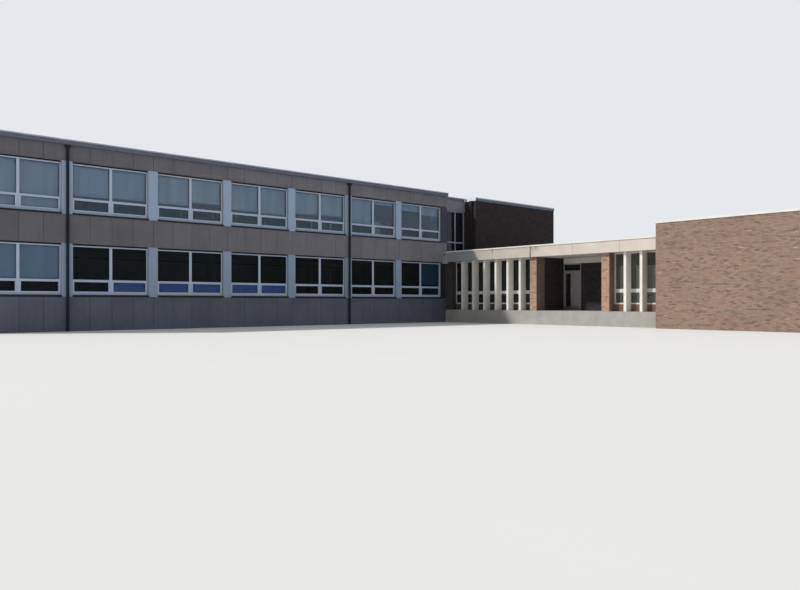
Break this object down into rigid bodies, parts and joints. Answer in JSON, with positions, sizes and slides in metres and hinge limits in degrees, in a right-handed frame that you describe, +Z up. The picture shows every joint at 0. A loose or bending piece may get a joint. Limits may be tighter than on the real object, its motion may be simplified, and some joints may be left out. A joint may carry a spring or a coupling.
{
  "type": "school building",
  "caption": "Flat-roofed school: two-storey classroom wing with window bands, brick block, low entrance block with fins and porch, brick hall; entrance doors open.",
  "frame": {"origin": "bottom centre of the building's box, on the lowest ground", "axes": "+Z up, +X along the classroom wing towards the brick block, the wing's front faces -Y and the entrance front faces -X"},
  "size_m": [36.53, 34.39, 7.85],
  "materials": {
    "exposed_concrete": "rough washed aggregate, brown-grey",
    "plain_concrete": "plain cast concrete",
    "pale_concrete": "pale beige precast concrete",
    "white_concrete": "white painted concrete",
    "brown_brick": "mixed brown facing brick",
    "white_frame": "white satin coating",
    "roof_metal": "blue-grey satin coating",
    "dark_metal": "dark grey satin coating",
    "grey_door": "grey satin coating",
    "handle_steel": "brushed",
    "window_glass": "clear, slightly tinted"
  },
  "bodies": {
    "building": {"block_long_walls": "brown_brick", "block_roof_edges": "roof_metal", "block_side_walls": "brown_brick", "classroom_window_frames": "white_frame", "classroom_window_glass": "window_glass", "downpipes": "dark_metal", "entrance_base": "plain_concrete", "entrance_door_frame": "grey_door", "entrance_fascia": "pale_concrete", "entrance_fins": "white_concrete", "entrance_piers": "brown_brick", "entrance_roof_kerb": "plain_concrete", "entrance_window_frames": "white_frame", "entrance_window_glass": "window_glass", "entrance_window_plinths": "brown_brick", "first_floor_slabs": "plain_concrete", "frame_hinges": "handle_steel", "ground_floor_slabs": "plain_concrete", "hall_doorway_walls": "brown_brick", "hall_end_walls": "brown_brick", "hall_long_walls": "brown_brick", "link_head_panels": "exposed_concrete", "link_side_walls": "exposed_concrete", "link_sill_walls": "exposed_concrete", "low_roof_copings": "white_concrete", "low_roof_slabs": "plain_concrete", "main_roof_slabs": "plain_concrete", "porch_back_wall": "brown_brick", "porch_lintel": "plain_concrete", "porch_side_walls": "brown_brick", "tall_window_frames": "white_frame", "tall_window_glass": "window_glass", "wing_end_panels": "exposed_concrete", "wing_gable_walls": "plain_concrete", "wing_parapet_panels": "exposed_concrete", "wing_plinth_panels": "exposed_concrete", "wing_post_covers": "white_frame", "wing_posts": "plain_concrete", "wing_roof_gutter": "roof_metal", "wing_spandrel_panels": "exposed_concrete", "wing_upstand_walls": "plain_concrete", "wing_window_trims": "dark_metal"},
    "left_leaf": {"left_door_leaf": "grey_door", "left_door_glass": "window_glass", "left_door_handle": "handle_steel", "left_door_hinges": "handle_steel"},
    "right_leaf": {"right_door_leaf": "grey_door", "right_door_handle": "handle_steel", "right_door_hinges": "handle_steel"}
  },
  "joints": [
    {"name": "left_door_hinge", "type": "hinge", "parent": "building", "child": "left_leaf", "pos_m": [9.896, 0.471, 0.75], "axis": [0, 0, -1], "range_deg": [0, 90]},
    {"name": "right_door_hinge", "type": "hinge", "parent": "building", "child": "right_leaf", "pos_m": [9.896, -0.561, 0.75], "axis": [0, 0, 1], "range_deg": [0, 90]}
  ]
}
